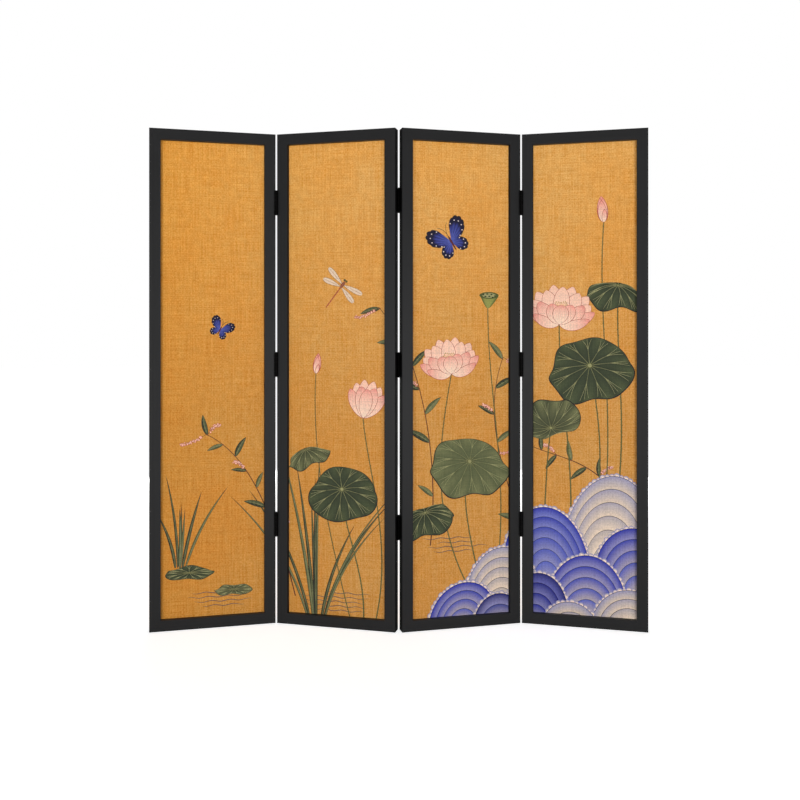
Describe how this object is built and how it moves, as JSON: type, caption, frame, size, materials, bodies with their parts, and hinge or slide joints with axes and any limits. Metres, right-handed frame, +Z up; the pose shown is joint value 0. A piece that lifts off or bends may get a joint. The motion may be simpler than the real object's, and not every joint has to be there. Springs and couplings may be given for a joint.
{
  "type": "folding screen",
  "caption": "Free-standing folding screen: tall framed cloth panels hinged edge to edge, standing in a zigzag and folding into a flat stack.",
  "frame": {"origin": "on the floor, under the middle of the standing screen's outer box", "axes": "+X to the viewer's right along the row of panels, +Y away from the viewer, +Z up"},
  "size_m": [1.7978, 0.1508, 1.8],
  "materials": {
    "frame_lacquer": "satin charcoal lacquer on wood",
    "core_board": "plain thin plywood, hidden between the cloths",
    "picture_cloth": "woven ochre gold silk, painted",
    "back_cloth": "plain woven ochre gold silk",
    "hinge_metal": "black painted steel",
    "screw_metal": "black steel"
  },
  "bodies": {
    "panel_1": {"panel_1_left_stile": "frame_lacquer", "panel_1_right_stile": "frame_lacquer", "panel_1_top_rail": "frame_lacquer", "panel_1_bottom_rail": "frame_lacquer", "panel_1_front_cloth": "picture_cloth", "panel_1_core_board": "core_board", "panel_1_back_cloth": "back_cloth", "panel_1_back_beads": "frame_lacquer", "panel_1_hinge_screws": "screw_metal", "fold_1_lower_hinge_left_leaf": "hinge_metal", "fold_1_middle_hinge_left_leaf": "hinge_metal", "fold_1_upper_hinge_left_leaf": "hinge_metal", "fold_1_hinge_pins": "hinge_metal"},
    "panel_2": {"panel_2_left_stile": "frame_lacquer", "panel_2_right_stile": "frame_lacquer", "panel_2_top_rail": "frame_lacquer", "panel_2_bottom_rail": "frame_lacquer", "panel_2_front_cloth": "picture_cloth", "panel_2_core_board": "core_board", "panel_2_back_cloth": "back_cloth", "panel_2_back_beads": "frame_lacquer", "panel_2_hinge_screws": "screw_metal", "fold_1_lower_hinge_right_leaf": "hinge_metal", "fold_1_middle_hinge_right_leaf": "hinge_metal", "fold_1_upper_hinge_right_leaf": "hinge_metal", "fold_2_lower_hinge_left_leaf": "hinge_metal", "fold_2_middle_hinge_left_leaf": "hinge_metal", "fold_2_upper_hinge_left_leaf": "hinge_metal", "fold_2_hinge_pins": "hinge_metal"},
    "panel_3": {"panel_3_left_stile": "frame_lacquer", "panel_3_right_stile": "frame_lacquer", "panel_3_top_rail": "frame_lacquer", "panel_3_bottom_rail": "frame_lacquer", "panel_3_front_cloth": "picture_cloth", "panel_3_core_board": "core_board", "panel_3_back_cloth": "back_cloth", "panel_3_back_beads": "frame_lacquer", "panel_3_hinge_screws": "screw_metal", "fold_2_lower_hinge_right_leaf": "hinge_metal", "fold_2_middle_hinge_right_leaf": "hinge_metal", "fold_2_upper_hinge_right_leaf": "hinge_metal", "fold_3_lower_hinge_left_leaf": "hinge_metal", "fold_3_middle_hinge_left_leaf": "hinge_metal", "fold_3_upper_hinge_left_leaf": "hinge_metal", "fold_3_hinge_pins": "hinge_metal"},
    "panel_4": {"panel_4_left_stile": "frame_lacquer", "panel_4_right_stile": "frame_lacquer", "panel_4_top_rail": "frame_lacquer", "panel_4_bottom_rail": "frame_lacquer", "panel_4_front_cloth": "picture_cloth", "panel_4_core_board": "core_board", "panel_4_back_cloth": "back_cloth", "panel_4_back_beads": "frame_lacquer", "panel_4_hinge_screws": "screw_metal", "fold_3_lower_hinge_right_leaf": "hinge_metal", "fold_3_middle_hinge_right_leaf": "hinge_metal", "fold_3_upper_hinge_right_leaf": "hinge_metal"}
  },
  "joints": [
    {"name": "fold_1", "type": "hinge", "parent": "panel_2", "child": "panel_1", "pos_m": [-0.45087, 0.03093, 0.9], "axis": [0, 0, 1], "range_deg": [-29, 151]},
    {"name": "fold_2", "type": "hinge", "parent": "panel_2", "child": "panel_3", "pos_m": [0, -0.03093, 0.9], "axis": [0, 0, 1], "range_deg": [-29, 151]},
    {"name": "fold_3", "type": "hinge", "parent": "panel_3", "child": "panel_4", "pos_m": [0.45087, 0.03093, 0.9], "axis": [0, 0, -1], "range_deg": [-29, 151]}
  ]
}
